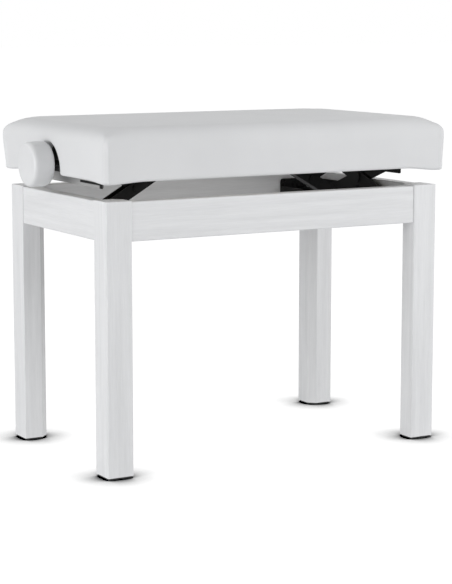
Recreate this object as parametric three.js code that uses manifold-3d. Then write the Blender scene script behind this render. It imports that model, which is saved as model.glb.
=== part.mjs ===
// Height-adjustable piano bench: a four-legged wooden frame and a padded seat. A screw turned by the knob
// on the left end draws two nuts together, and each nut stands a lift arm up under the seat. A link from
// the middle of each arm to the seat above its foot keeps the motion upright. A scissor at the right end
// keeps the seat level from front to rear.
// Units are millimetres, +Z is up, X runs along the bench and -Y is its front.
import * as THREE from "three";
import * as BufferGeometryUtils from "three/addons/utils/BufferGeometryUtils.js";
import Module from "manifold-3d";

const wasm = await Module();
wasm.setup();

// ---------------------------------------------------------------- driving dimensions

const GAP = 0.3;                       // between pieces that touch
const FRAME = { length: 552, depth: 324, top: 389 };
const LEG = { side: 39.5, innerChamfer: 11, edge: 1 };
const PAD = { height: 3, inset: 1.75 };
const RAIL = { thick: 20, height: 55, setback: 1.75, belowLegTop: 1.3, edge: 1 };
const DOWEL = { radius: 4, length: 30, spacing: 22, clearance: 0.3 };

const SEAT = { length: 560, depth: 340, bottom: 415.3, top: 490, corner: 12, edge: 22 };
const LEATHER = 1.5;
const SKIRT_THICK = 16;
const BOARD = { bottom: 466, top: 475 };

const KNOB = { radius: 32.4, length: 29, faceX: -317, faceRadius: 26.4, backRadius: 27.4 };
const SHAFT = { y: 8, z: 430.6, radius: 4.5 };
const NOTCH = { radius: 30, flare: 8, plateHalf: 38, plate: 3 };

const DRIVE = {
  centreX: 4.5, footX: 223.7, footZ: 349, halfArm: 81.6, slopeDeg: 30, halfWidth: 9, sheet: 2.5,
};
const SCISSOR = { halfLength: 107, slopeDeg: 20, hubZ: 389, x: 246 };
const BAR = { width: 22, thick: 3, gap: 0.6 };
const ROD_RADIUS = 5;
const SLEEVE = { radius: 6.2, width: 5 };
const BRACKET = { innerX: 186, outerX: 219, sheet: 3, reachY: 136, cheekY: 74 };
const LOWER_BRACKET = { top: 378, shoulder: 361, shoulderX: 234, corner: 5 };
const UPPER_WING = { farX: 241.7, nearY: 64, farY: 119, bottom: 403.5 };
const SLOT = { nearY: 81, farY: 111, half: 7.1, wall: 6.5 };
const WOOD_SCREW = { radius: 1.9, headRadius: 3.8, head: 1.8, depth: 15 };

const OVERLAP = 1;                     // how far joined pieces and cutters run into each other
const SIDES = { dowel: 12, screw: 10, screwHead: 14, pin: 16, rod: 18, arch: 10, slot: 3, knob: 40, nut: 6 };

// ---------------------------------------------------------------- derived dimensions

const halfFrameX = FRAME.length / 2;
const halfFrameY = FRAME.depth / 2;
const legInnerX = halfFrameX - LEG.side;
const legInnerY = halfFrameY - LEG.side;
const railTop = FRAME.top - RAIL.belowLegTop;
const railBottom = railTop - RAIL.height;
const railInnerX = halfFrameX - RAIL.setback - RAIL.thick;
const railInnerY = halfFrameY - RAIL.setback - RAIL.thick;

const halfSeatX = SEAT.length / 2;
const halfSeatY = SEAT.depth / 2;
const coreX = halfSeatX - LEATHER - GAP;
const coreY = halfSeatY - LEATHER - GAP;
const coreCorner = SEAT.corner - LEATHER;
const skirtBottom = SEAT.bottom + LEATHER + GAP;
const skirtTop = BOARD.bottom - GAP;

const slope = THREE.MathUtils.degToRad(SCISSOR.slopeDeg);
const rodY = SCISSOR.halfLength * Math.cos(slope);
const rodRise = SCISSOR.halfLength * Math.sin(slope);
const lowerRodZ = SCISSOR.hubZ - rodRise;
const upperRodZ = SCISSOR.hubZ + rodRise;

const armSlope = THREE.MathUtils.degToRad(DRIVE.slopeDeg);
const armLength = 2 * DRIVE.halfArm;
const hubInset = DRIVE.halfArm * Math.cos(armSlope);

// the whole bench is shifted so that the knob and the seat's far end lie evenly about the origin
const shiftX = -(KNOB.faceX + halfSeatX) / 2;

// ---------------------------------------------------------------- materials

const paint = { color: 0xe8e9e9, roughness: 0.42, metalness: 0 };
const hide = { color: 0xd9dbdd, roughness: 0.5, metalness: 0 };
const blackSteel = { color: 0x1b1c1e, roughness: 0.45, metalness: 0.6 };
const zinc = { color: 0xb4b7ba, roughness: 0.35, metalness: 1 };
const beech = { color: 0xc9a878, roughness: 0.65, metalness: 0 };
const plywood = { color: 0xb99a6b, roughness: 0.75, metalness: 0 };
const foamStuff = { color: 0xe3dcc6, roughness: 0.95, metalness: 0 };
const blackPlastic = { color: 0x161617, roughness: 0.6, metalness: 0 };
const brass = { color: 0xb5953f, roughness: 0.35, metalness: 1 };

// ---------------------------------------------------------------- solids

function solid(geometry) {
  const bare = geometry.index ? geometry.toNonIndexed() : geometry.clone();
  bare.deleteAttribute("normal");
  bare.deleteAttribute("uv");
  const merged = BufferGeometryUtils.mergeVertices(bare, 1e-4);
  return new wasm.Manifold(new wasm.Mesh({
    numProp: 3,
    vertProperties: new Float32Array(merged.attributes.position.array),
    triVerts: new Uint32Array(merged.index.array),
  }));
}

function geometryOf(manifold) {
  const mesh = manifold.getMesh();
  const geometry = new THREE.BufferGeometry();
  geometry.setAttribute("position", new THREE.BufferAttribute(new Float32Array(mesh.vertProperties), 3));
  geometry.setIndex(new THREE.BufferAttribute(new Uint32Array(mesh.triVerts), 1));
  geometry.computeVertexNormals();
  return geometry;
}

function block(x0, x1, y0, y1, z0, z1) {
  const geometry = new THREE.BoxGeometry(x1 - x0, y1 - y0, z1 - z0);
  return geometry.translate((x0 + x1) / 2, (y0 + y1) / 2, (z0 + z1) / 2);
}

function cylinder(axis, radius, from, to, centre, sides = 20) {
  const geometry = new THREE.CylinderGeometry(radius, radius, to - from, sides);
  geometry.translate(0, (from + to) / 2, 0);
  if (axis === "x") geometry.rotateZ(-Math.PI / 2);
  if (axis === "z") geometry.rotateX(Math.PI / 2);
  return geometry.translate(...centre);
}

// a flat outline, drawn in Y and Z, and given a thickness from x0 to x1
function plateYZ(shape, x0, x1, curveSegments = 7) {
  const geometry = new THREE.ExtrudeGeometry(shape, { depth: x1 - x0, bevelEnabled: false, curveSegments });
  return geometry.rotateZ(Math.PI / 2).rotateY(Math.PI / 2).translate(x0, 0, 0);
}

// a flat outline, drawn in X and Y, and given a thickness from z0 to z1
function plateXY(shape, z0, z1, curveSegments = 3) {
  const geometry = new THREE.ExtrudeGeometry(shape, { depth: z1 - z0, bevelEnabled: false, curveSegments });
  return geometry.translate(0, 0, z0);
}

// a flat outline, drawn in X and Z, and given a thickness from y0 to y1
function plateXZ(shape, y0, y1, curveSegments = 7) {
  const geometry = new THREE.ExtrudeGeometry(shape, { depth: y1 - y0, bevelEnabled: false, curveSegments });
  return geometry.rotateX(Math.PI / 2).translate(0, y1, 0);
}

function outline(points) {
  return new THREE.Shape(points.map(([a, b]) => new THREE.Vector2(a, b)));
}

function roundedRectangle(a0, a1, b0, b1, radius) {
  const shape = new THREE.Shape();
  shape.moveTo(a0 + radius, b0);
  shape.lineTo(a1 - radius, b0);
  shape.absarc(a1 - radius, b0 + radius, radius, -Math.PI / 2, 0);
  shape.lineTo(a1, b1 - radius);
  shape.absarc(a1 - radius, b1 - radius, radius, 0, Math.PI / 2);
  shape.lineTo(a0 + radius, b1);
  shape.absarc(a0 + radius, b1 - radius, radius, Math.PI / 2, Math.PI);
  shape.lineTo(a0, b0 + radius);
  shape.absarc(a0 + radius, b0 + radius, radius, Math.PI, Math.PI * 1.5);
  return shape;
}

function join(geometries) {
  return geometries.map(solid).reduce((all, next) => all.add(next));
}

function cut(base, tools) {
  const body = base instanceof THREE.BufferGeometry ? solid(base) : base;
  return tools.length ? body.subtract(join(tools)) : body;
}

function mirrorPoint(points, signX, signY) {
  const mirrored = points.map(([x, y]) => [x * signX, y * signY]);
  return signX * signY < 0 ? mirrored.reverse() : mirrored;
}

function spread(sign, near, far) {
  return sign > 0 ? [near, far] : [-far, -near];
}

// ---------------------------------------------------------------- scene graph

const bench = new THREE.Group();
bench.position.x = shiftX;

function addPiece(name, shape, finish) {
  const geometry = shape instanceof THREE.BufferGeometry ? shape : geometryOf(shape);
  const mesh = new THREE.Mesh(geometry, new THREE.MeshStandardMaterial(finish));
  mesh.name = name;
  bench.add(mesh);
  return mesh;
}

const ends = [{ name: "left", sign: -1 }, { name: "right", sign: 1 }];
const sides = [{ name: "front", sign: -1 }, { name: "rear", sign: 1 }];

// ---------------------------------------------------------------- wooden frame

const dowelZs = [-1, 1].map((step) => (railTop + railBottom + step * DOWEL.spacing) / 2);
const longRailY = halfFrameY - RAIL.setback - RAIL.thick / 2;
const endRailX = halfFrameX - RAIL.setback - RAIL.thick / 2;
const CORNER = { plate: 2.5, bottom: 334, top: 360, longFlangeEnd: 221, endFlangeEnd: 88 };
const CORNER_BOLT = { z: 347, radius: 3, intoLeg: 24, tail: 8, nutRadius: 5.6, nutLength: 5 };
const cornerHole = { from: -10, beyondPlate: 4 };

function dowel(axis, signX, signY, z, radius, length) {
  const half = length / 2;
  if (axis === "x") {
    return cylinder("x", radius, -half, half, [signX * legInnerX, signY * longRailY, z], SIDES.dowel);
  }
  return cylinder("y", radius, -half, half, [signX * endRailX, signY * legInnerY, z], SIDES.dowel);
}

function dowelHoles(axis, signX, signY) {
  const holeRadius = DOWEL.radius + DOWEL.clearance;
  return dowelZs.map((z) => dowel(axis, signX, signY, z, holeRadius, DOWEL.length + 2));
}

// each rail is one solid with the dowels that are glued into its ends
function gluedDowels(axis, signX, signY) {
  return dowelZs.map((z) => dowel(axis, signX, signY, z, DOWEL.radius, DOWEL.length));
}

function legOutline(signX, signY, inset) {
  const outerX = halfFrameX - inset;
  const outerY = halfFrameY - inset;
  const innerX = legInnerX + inset;
  const innerY = legInnerY + inset;
  const edge = LEG.edge;
  const chamfer = LEG.innerChamfer;
  return outline(mirrorPoint([
    [innerX + chamfer, innerY], [outerX - edge, innerY], [outerX, innerY + edge],
    [outerX, outerY - edge], [outerX - edge, outerY], [innerX + edge, outerY],
    [innerX, outerY - edge], [innerX, innerY + chamfer],
  ], signX, signY));
}

// the bolt runs through the middle of the leg's chamfer, at 45 degrees to both rails
function alongCornerDiagonal(geometry, signX, signY) {
  const chamferX = signX * (legInnerX + LEG.innerChamfer / 2);
  const chamferY = signY * (legInnerY + LEG.innerChamfer / 2);
  return geometry.rotateZ(Math.atan2(signY, signX)).translate(chamferX, chamferY, CORNER_BOLT.z);
}

function cornerBoltRod(signX, signY, radius, from, to, sideCount = 14) {
  return alongCornerDiagonal(cylinder("x", radius, from, to, [0, 0, 0], sideCount), signX, signY);
}

for (const side of sides) {
  for (const end of ends) {
    const corner = `${side.name}_${end.name}`;
    const holes = [
      ...dowelHoles("x", end.sign, side.sign),
      ...dowelHoles("y", end.sign, side.sign),
      cornerBoltRod(end.sign, side.sign, CORNER_BOLT.radius + GAP, cornerHole.from,
        CORNER_BOLT.intoLeg + OVERLAP),
    ];
    const leg = plateXY(legOutline(end.sign, side.sign, 0), PAD.height + GAP, FRAME.top);
    addPiece(`leg_${corner}`, cut(leg, holes), paint);
    addPiece(`foot_pad_${corner}`, plateXY(legOutline(end.sign, side.sign, PAD.inset), 0, PAD.height),
      blackPlastic);
  }
}

// wood screws hold the lower brackets to the long rails, and the foot brackets to the end rails
const lowerScrewXs = [194, 211];
const lowerScrewZ = 370;
const footScrewZ = 348;
const footScrewHalfSpacing = 20;
const footScrewYs = [-1, 1].map((step) => SHAFT.y + step * footScrewHalfSpacing);

function lowerScrewShank(signY, x, radius) {
  const face = railInnerY - GAP - BRACKET.sheet;
  const [y0, y1] = spread(signY, face, face + WOOD_SCREW.depth);
  return cylinder("y", radius, y0, y1, [x, 0, lowerScrewZ], SIDES.screw);
}

function footScrewShank(signX, y, radius) {
  const face = railInnerX - GAP - BRACKET.sheet;
  const [x0, x1] = spread(signX, face, face + WOOD_SCREW.depth);
  return cylinder("x", radius, x0, x1, [0, y, footScrewZ], SIDES.screw);
}

function railProfile() {
  const edge = RAIL.edge;
  const half = RAIL.thick / 2;
  return [
    [-half + edge, railBottom], [half - edge, railBottom], [half, railBottom + edge],
    [half, railTop - edge], [half - edge, railTop], [-half + edge, railTop],
    [-half, railTop - edge], [-half, railBottom + edge],
  ];
}

for (const side of sides) {
  const reach = legInnerX - GAP;
  const profile = outline(railProfile().map(([y, z]) => [y + side.sign * longRailY, z]));
  const holes = lowerScrewXs.map((x) => lowerScrewShank(side.sign, x, WOOD_SCREW.radius + GAP));
  const dowels = ends.flatMap((end) => gluedDowels("x", end.sign, side.sign));
  addPiece(`rail_${side.name}`, cut(join([plateYZ(profile, -reach, reach), ...dowels]), holes), paint);
}

for (const end of ends) {
  const reach = legInnerY - GAP;
  const profile = outline(railProfile());
  const rail = plateYZ(profile, -reach, reach).rotateZ(Math.PI / 2).translate(end.sign * endRailX, 0, 0);
  const holes = footScrewYs.map((y) => footScrewShank(end.sign, y, WOOD_SCREW.radius + GAP));
  const dowels = sides.flatMap((side) => gluedDowels("y", end.sign, side.sign));
  addPiece(`rail_${end.name}`, cut(join([rail, ...dowels]), holes), paint);
}

// pressed-steel corner plates: a flat across the leg's chamfer and a flange along each rail
function cornerPlateOutline(signX, signY) {
  const outerX = railInnerX - GAP;
  const outerY = railInnerY - GAP;
  const sheet = CORNER.plate;
  const chamferSum = legInnerX + legInnerY + LEG.innerChamfer - GAP * Math.SQRT2;
  const innerSum = chamferSum - sheet * Math.SQRT2;
  const { longFlangeEnd, endFlangeEnd } = CORNER;
  return outline(mirrorPoint([
    [longFlangeEnd, outerY - sheet], [innerSum - outerY + sheet, outerY - sheet],
    [outerX - sheet, innerSum - outerX + sheet], [outerX - sheet, endFlangeEnd],
    [outerX, endFlangeEnd], [outerX, chamferSum - outerX],
    [chamferSum - outerY, outerY], [longFlangeEnd, outerY],
  ], signX, signY));
}

for (const side of sides) {
  for (const end of ends) {
    const plate = plateXY(cornerPlateOutline(end.sign, side.sign), CORNER.bottom, CORNER.top);
    const hole = cornerBoltRod(end.sign, side.sign, CORNER_BOLT.radius + GAP,
      cornerHole.from, cornerHole.beyondPlate);
    addPiece(`corner_plate_${side.name}_${end.name}`, cut(plate, [hole]), zinc);
    const nutBack = -CORNER.plate - 2 * GAP;
    const bolt = join([
      cornerBoltRod(end.sign, side.sign, CORNER_BOLT.radius, nutBack - CORNER_BOLT.tail, CORNER_BOLT.intoLeg),
      cornerBoltRod(end.sign, side.sign, CORNER_BOLT.nutRadius,
        nutBack - CORNER_BOLT.nutLength, nutBack, SIDES.nut),
    ]);
    addPiece(`corner_bolt_${side.name}_${end.name}`, bolt, zinc);
  }
}

// ---------------------------------------------------------------- end scissor: lower brackets

const slotWall = SLOT.half + SLOT.wall;
const cheekCorner = 1.5;
const cheekXs = [
  [BRACKET.innerX, BRACKET.innerX + BRACKET.sheet],
  [BRACKET.outerX - BRACKET.sheet, BRACKET.outerX],
];
const wingXs = [cheekXs[0], [UPPER_WING.farX - BRACKET.sheet, UPPER_WING.farX]];

// the sleeves on the rods slide from front to rear in these slots
function slotCut(signY, rodZ) {
  const [y0, y1] = spread(signY, SLOT.nearY, SLOT.farY);
  const shape = roundedRectangle(y0, y1, rodZ - SLOT.half, rodZ + SLOT.half, SLOT.half - 0.01);
  return plateYZ(shape, BRACKET.innerX - OVERLAP, UPPER_WING.farX + OVERLAP, SIDES.slot);
}

for (const side of sides) {
  const plateFace = railInnerY - GAP;
  const bottom = lowerRodZ - slotWall;
  const plateY1 = spread(side.sign, plateFace - BRACKET.sheet, plateFace)[1];
  const backShape = new THREE.Shape();
  backShape.moveTo(BRACKET.innerX, bottom);
  backShape.lineTo(BRACKET.outerX, bottom);
  backShape.lineTo(BRACKET.outerX, LOWER_BRACKET.shoulder);
  backShape.lineTo(LOWER_BRACKET.shoulderX, LOWER_BRACKET.shoulder);
  backShape.lineTo(LOWER_BRACKET.shoulderX, LOWER_BRACKET.top);
  const cornerX = BRACKET.innerX + LOWER_BRACKET.corner;
  backShape.absarc(cornerX, LOWER_BRACKET.top - LOWER_BRACKET.corner, LOWER_BRACKET.corner,
    Math.PI / 2, Math.PI);
  const back = plateXZ(backShape, plateY1 - BRACKET.sheet, plateY1, SIDES.slot);
  const [cheekY0, cheekY1] = spread(side.sign, BRACKET.cheekY, plateFace - OVERLAP);
  const cheekShape = roundedRectangle(cheekY0, cheekY1, bottom, lowerRodZ + slotWall, cheekCorner);
  const cheeks = cheekXs.map(([a, b]) => plateYZ(cheekShape, a, b, 1));
  const screws = lowerScrewXs.flatMap((x) => [
    lowerScrewShank(side.sign, x, WOOD_SCREW.radius),
    cylinder("y", WOOD_SCREW.headRadius,
      ...spread(side.sign, plateFace - BRACKET.sheet - WOOD_SCREW.head, plateFace - OVERLAP),
      [x, 0, lowerScrewZ], SIDES.screwHead),
  ]);
  const bracket = cut(join([back, ...cheeks]), [slotCut(side.sign, lowerRodZ)]);
  addPiece(`lower_bracket_${side.name}`, bracket.add(join(screws)), blackSteel);
}

// ---------------------------------------------------------------- end scissor: arms

const pivotBolt = { radius: 4, headRadius: 8, head: 2.4, backHead: 1, hole: 4.3 };

function pinHole(x, z, radius) {
  const hole = new THREE.Path();
  hole.absarc(x, z, radius, 0, Math.PI * 2);
  return hole;
}

function scissorArm(x0, rise) {
  const half = SCISSOR.halfLength;
  const round = BAR.width / 2;
  const shape = new THREE.Shape();
  shape.absarc(half, 0, round, -Math.PI / 2, Math.PI / 2);
  shape.absarc(-half, 0, round, Math.PI / 2, Math.PI * 1.5);
  shape.holes.push(pinHole(-half, 0, ROD_RADIUS + GAP), pinHole(half, 0, ROD_RADIUS + GAP));
  shape.holes.push(pinHole(0, 0, pivotBolt.hole));
  return plateYZ(shape, 0, BAR.thick).rotateX(rise * slope).translate(x0, 0, SCISSOR.hubZ);
}

// arm a rises towards the front and lies outside; arm b rises towards the rear
addPiece("scissor_arm_a", scissorArm(SCISSOR.x + BAR.gap / 2, -1), blackSteel);
addPiece("scissor_arm_b", scissorArm(SCISSOR.x - BAR.gap / 2 - BAR.thick, 1), blackSteel);

const rods = [
  { name: "rod_upper_front", y: -rodY, z: upperRodZ },
  { name: "rod_lower_rear", y: rodY, z: lowerRodZ },
  { name: "rod_upper_rear", y: rodY, z: upperRodZ },
  { name: "rod_lower_front", y: -rodY, z: lowerRodZ },
];

// nylon sleeves are pressed onto the rods where they slide in the bracket slots
const rodOverhang = 4;
const rodFrom = BRACKET.innerX - rodOverhang;
const rodTo = SCISSOR.x + BAR.gap / 2 + BAR.thick;
for (const rod of rods) {
  const bar = cylinder("x", ROD_RADIUS, rodFrom, rodTo, [0, rod.y, rod.z], SIDES.rod);
  const carriers = rod.z > SCISSOR.hubZ ? wingXs : cheekXs;
  const sleeves = carriers.map(([a, b]) => {
    const middle = Math.min((a + b) / 2, SCISSOR.x - BAR.thick - BAR.gap - SLEEVE.width / 2);
    return cylinder("x", SLEEVE.radius, middle - SLEEVE.width / 2, middle + SLEEVE.width / 2,
      [0, rod.y, rod.z], SIDES.rod);
  });
  addPiece(rod.name, join([bar, ...sleeves]), zinc);
}

// a shouldered bolt joins the two arms where they cross
const boltReach = BAR.thick + BAR.gap / 2 + GAP;
const hub = [SCISSOR.x, 0, SCISSOR.hubZ];
addPiece("scissor_bolt", join([
  cylinder("x", pivotBolt.radius, -boltReach - OVERLAP, boltReach + OVERLAP, hub, SIDES.pin),
  cylinder("x", pivotBolt.headRadius, -boltReach - pivotBolt.head, -boltReach, hub, SIDES.rod),
  cylinder("x", pivotBolt.headRadius, boltReach, boltReach + pivotBolt.backHead, hub, SIDES.rod),
]), blackSteel);

// ---------------------------------------------------------------- lift arms and links

// distances from the screw's middle plane: the link lies inside the arm's flanges, on the front side
const ARM_FLANGE = { near: 7.5, far: 10 };
const LINK = { near: 4.8, far: 7.2, halfWidth: 8.5, hubEye: 5.6 };
const FOOT_CHEEK = { near: 10.3, far: 13.3 };
const SEAT_CHEEK = { near: 7.6, far: 10.6 };
const footPin = { radius: 4, headRadius: 7, head: 2 };
const seatPin = { radius: 3.5, headRadius: 6, head: 1.8, above: 0.6, below: 3.6 };
const hubPin = { radius: 3, headRadius: 5, head: 1.6 };
const nutPin = { radius: 3.5, reach: 11.6 };
const nutSlot = { before: 1.4, beyond: 5.3, radius: 4.7 };
const armWeb = { from: 9, short: 20 };

function acrossScrew(near, far) {
  return [[SHAFT.y - far, SHAFT.y - near], [SHAFT.y + near, SHAFT.y + far]];
}

function pinAlongY(radius, near, far, x, z, sideCount = 16) {
  return acrossScrew(near, far).map(([y0, y1]) => cylinder("y", radius, y0, y1, [x, 0, z], sideCount));
}

function pinThrough(radius, far, x, z, sideCount = 16) {
  return cylinder("y", radius, SHAFT.y - far, SHAFT.y + far, [x, 0, z], sideCount);
}

// a bar drawn along +X or -X from its pivot, with a round eye at each end
function strip(direction, length, startRadius, endRadius) {
  const shape = new THREE.Shape();
  const quarter = Math.PI / 2;
  const middle = direction > 0 ? 0 : Math.PI;
  shape.absarc(direction * length, 0, endRadius, middle - quarter, middle + quarter);
  shape.absarc(0, 0, startRadius, middle + quarter, middle + 3 * quarter);
  return shape;
}

// turns a piece drawn along X about its pivot, so that it rises away from the pivot by this angle
function inclined(geometry, direction, rise, x, z) {
  return geometry.rotateY(-direction * rise).translate(x, 0, z);
}

function liftArm(direction) {
  const slotEnd = armLength + nutSlot.beyond;
  const shape = strip(direction, slotEnd, DRIVE.halfWidth, DRIVE.halfWidth);
  const x0 = direction * (armLength - nutSlot.before);
  const x1 = direction * slotEnd;
  const left = Math.min(x0, x1) - nutSlot.radius;
  const right = Math.max(x0, x1) + nutSlot.radius;
  shape.holes.push(roundedRectangle(left, right, -nutSlot.radius, nutSlot.radius, nutSlot.radius - 0.01));
  shape.holes.push(pinHole(0, 0, footPin.radius + GAP));
  shape.holes.push(pinHole(direction * DRIVE.halfArm, 0, hubPin.radius + GAP));
  const flanges = acrossScrew(ARM_FLANGE.near, ARM_FLANGE.far).map(([y0, y1]) => plateXZ(shape, y0, y1));
  const ends = [armWeb.from, armLength - armWeb.short].map((t) => direction * t).sort((a, b) => a - b);
  const web = block(...ends, SHAFT.y - ARM_FLANGE.far, SHAFT.y + ARM_FLANGE.far,
    -DRIVE.halfWidth, DRIVE.sheet - DRIVE.halfWidth);
  return [...flanges, web];
}

// the link's upper pin slides in an upright slot in the seat bracket
function seatLink(direction) {
  const shape = strip(direction, DRIVE.halfArm, LINK.halfWidth, LINK.hubEye);
  shape.holes.push(pinHole(direction * DRIVE.halfArm, 0, hubPin.radius + GAP));
  const headFrom = SHAFT.y - SEAT_CHEEK.far - GAP;
  return [
    plateXZ(shape, SHAFT.y - LINK.far, SHAFT.y - LINK.near),
    cylinder("y", seatPin.radius, headFrom - OVERLAP, SHAFT.y - LINK.near - 0.1, [0, 0, 0], SIDES.pin),
    cylinder("y", seatPin.headRadius, headFrom - seatPin.head, headFrom, [0, 0, 0], SIDES.pin),
  ];
}

// a plate that ends in a half circle about the pin, and runs straight back to its root
function tongue(endX, rootX, z, radius) {
  const shape = new THREE.Shape();
  const clockwise = endX < rootX;
  shape.moveTo(rootX, z - radius);
  shape.lineTo(endX, z - radius);
  shape.absarc(endX, z, radius, -Math.PI / 2, clockwise ? -Math.PI * 1.5 : Math.PI / 2, clockwise);
  shape.lineTo(rootX, z + radius);
  return shape;
}

const footPlate = { halfY: 24, bottom: 338.5, top: 358 };
const guard = { halfY: 117, bottom: 361, top: 377 };
for (const end of ends) {
  const direction = -end.sign;
  const pivotX = DRIVE.centreX + end.sign * DRIVE.footX;
  const hubX = pivotX + direction * hubInset;
  const hubZ = DRIVE.footZ + DRIVE.halfArm * Math.sin(armSlope);

  const arm = liftArm(direction).map((part) => inclined(part, direction, armSlope, pivotX, DRIVE.footZ));
  addPiece(`lift_arm_${end.name}`, join(arm), blackSteel);
  const link = seatLink(direction).map((part) => inclined(part, direction, -armSlope, pivotX, SHAFT.z));
  addPiece(`seat_link_${end.name}`, join(link), blackSteel);

  const hubFace = ARM_FLANGE.far + GAP;
  addPiece(`hub_pin_${end.name}`, join([
    pinThrough(hubPin.radius, hubFace + OVERLAP, hubX, hubZ),
    ...pinAlongY(hubPin.headRadius, hubFace, hubFace + hubPin.head, hubX, hubZ, SIDES.rod),
  ]), blackSteel);

  // the arm's foot turns on a pin in a bracket that is screwed to the end rail
  const plateFace = railInnerX - GAP;
  const [plateX0, plateX1] = spread(end.sign, plateFace - BRACKET.sheet, plateFace);
  const cheek = tongue(pivotX, end.sign * (plateFace - 1), DRIVE.footZ, DRIVE.halfWidth);
  const plates = [
    block(plateX0, plateX1, SHAFT.y - footPlate.halfY, SHAFT.y + footPlate.halfY,
      footPlate.bottom, end.sign > 0 ? guard.top : footPlate.top),
  ];
  if (end.sign > 0) plates.push(block(plateX0, plateX1, -guard.halfY, guard.halfY, guard.bottom, guard.top));
  addPiece(`foot_bracket_${end.name}`, join([
    ...plates,
    ...acrossScrew(FOOT_CHEEK.near, FOOT_CHEEK.far).map(([y0, y1]) => plateXZ(cheek, y0, y1)),
    pinThrough(footPin.radius, FOOT_CHEEK.far + 1, pivotX, DRIVE.footZ),
    ...pinAlongY(footPin.headRadius, FOOT_CHEEK.far - OVERLAP, FOOT_CHEEK.far + footPin.head,
      pivotX, DRIVE.footZ),
    ...footScrewYs.flatMap((y) => [
      footScrewShank(end.sign, y, WOOD_SCREW.radius),
      cylinder("x", WOOD_SCREW.headRadius,
        ...spread(end.sign, plateFace - BRACKET.sheet - WOOD_SCREW.head, plateFace - OVERLAP),
        [0, y, footScrewZ], SIDES.screwHead),
    ]),
  ]), blackSteel);
}

// ---------------------------------------------------------------- seat

// a block with rounded upright corners and a rounded top edge
function paddedBlock(halfX, halfY, bottom, top, cornerRadius, edgeRadius) {
  const flat = outline([
    [-halfX + edgeRadius, -halfY + edgeRadius], [halfX - edgeRadius, -halfY + edgeRadius],
    [halfX - edgeRadius, halfY - edgeRadius], [-halfX + edgeRadius, halfY - edgeRadius],
  ]);
  const depth = top - bottom;
  const domed = new THREE.ExtrudeGeometry(flat, {
    depth, bevelEnabled: true, bevelSize: edgeRadius, bevelThickness: edgeRadius, bevelSegments: 6,
  }).translate(0, 0, bottom - edgeRadius);
  const upright = plateXY(roundedRectangle(-halfX, halfX, -halfY, halfY, cornerRadius), bottom, top + 1);
  return solid(domed).intersect(solid(upright));
}

const mouthMargin = 5;

function archShape(radius) {
  const shape = new THREE.Shape();
  shape.moveTo(SHAFT.y - radius, SEAT.bottom - mouthMargin);
  shape.lineTo(SHAFT.y + radius, SEAT.bottom - mouthMargin);
  shape.lineTo(SHAFT.y + radius, SHAFT.z);
  shape.absarc(SHAFT.y, SHAFT.z, radius, 0, Math.PI);
  return shape;
}

function archCut(radius, x0, x1) {
  return plateYZ(archShape(radius), x0, x1, SIDES.arch);
}

// opens the notch out towards the seat's end, so that the leather can roll into it
function archFlare(radius, faceX) {
  const depth = 5;
  const geometry = new THREE.ExtrudeGeometry(archShape(radius), {
    depth, bevelEnabled: true, bevelSize: NOTCH.flare, bevelThickness: NOTCH.flare,
    bevelSegments: 1, curveSegments: SIDES.arch,
  });
  return geometry.rotateZ(Math.PI / 2).rotateY(Math.PI / 2).translate(faceX - depth, 0, 0);
}

// everything inside the cover is a slice of one rounded core
const foamTop = SEAT.top - LEATHER - GAP;
const core = paddedBlock(coreX, coreY, skirtBottom, foamTop, coreCorner, SEAT.edge - LEATHER);

function coreSlice(x0, x1, y0, y1, z0, z1) {
  return core.intersect(solid(block(x0, x1, y0, y1, z0, z1)));
}

const skirtInnerX = coreX - SKIRT_THICK;
const skirtInnerY = coreY - SKIRT_THICK;
for (const side of sides) {
  const [y0, y1] = spread(side.sign, skirtInnerY, coreY);
  addPiece(`seat_skirt_${side.name}`, coreSlice(-coreX, coreX, y0, y1, skirtBottom, skirtTop), beech);
}
for (const end of ends) {
  const [x0, x1] = spread(end.sign, skirtInnerX, coreX);
  const skirt = block(x0, x1, -skirtInnerY + GAP, skirtInnerY - GAP, skirtBottom, skirtTop);
  const notchRadius = NOTCH.radius + LEATHER / 2;
  const notch = end.sign < 0 ? [archCut(notchRadius, x0 - 1, x1 + 1), archFlare(notchRadius, x0)] : [];
  addPiece(`seat_skirt_${end.name}`, cut(skirt, notch), beech);
}

const webTop = BOARD.bottom - GAP;
const webBottom = webTop - BRACKET.sheet;
const seatPlate = { nearX: 216, farX: 236, screwX: 226, screwY: 8, reachY: 18 };
const railScrewYs = [-70, -40, 40, 70];
const boardScrews = [
  ...railScrewYs.map((y) => [(BRACKET.innerX + BRACKET.outerX) / 2, y]),
  ...ends.flatMap((end) => [-1, 1].map((step) =>
    [DRIVE.centreX + end.sign * seatPlate.screwX, SHAFT.y + step * seatPlate.screwY])),
];
const railScrews = boardScrews.slice(0, railScrewYs.length);
const linkScrews = boardScrews.slice(railScrewYs.length);
const screwTip = 2;                    // wood left over each screw
const holeTip = 1.5;

function boardScrewShank([x, y], radius, low, high) {
  return cylinder("z", radius, low, high, [x, y, 0], SIDES.screw);
}

function boardScrew(place) {
  const head = cylinder("z", WOOD_SCREW.headRadius, webBottom - WOOD_SCREW.head,
    webBottom + OVERLAP, [...place, 0], SIDES.screwHead);
  return [boardScrewShank(place, WOOD_SCREW.radius, webBottom, BOARD.top - screwTip), head];
}

const boardHoles = boardScrews.map((place) =>
  boardScrewShank(place, WOOD_SCREW.radius + GAP, BOARD.bottom - OVERLAP, BOARD.top - holeTip));
const board = coreSlice(-coreX, coreX, -coreY, coreY, BOARD.bottom, BOARD.top);
addPiece("seat_board", cut(board, boardHoles), plywood);

addPiece("foam_pad", coreSlice(-coreX, coreX, -coreY, coreY, BOARD.top + GAP, foamTop), foamStuff);

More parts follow.
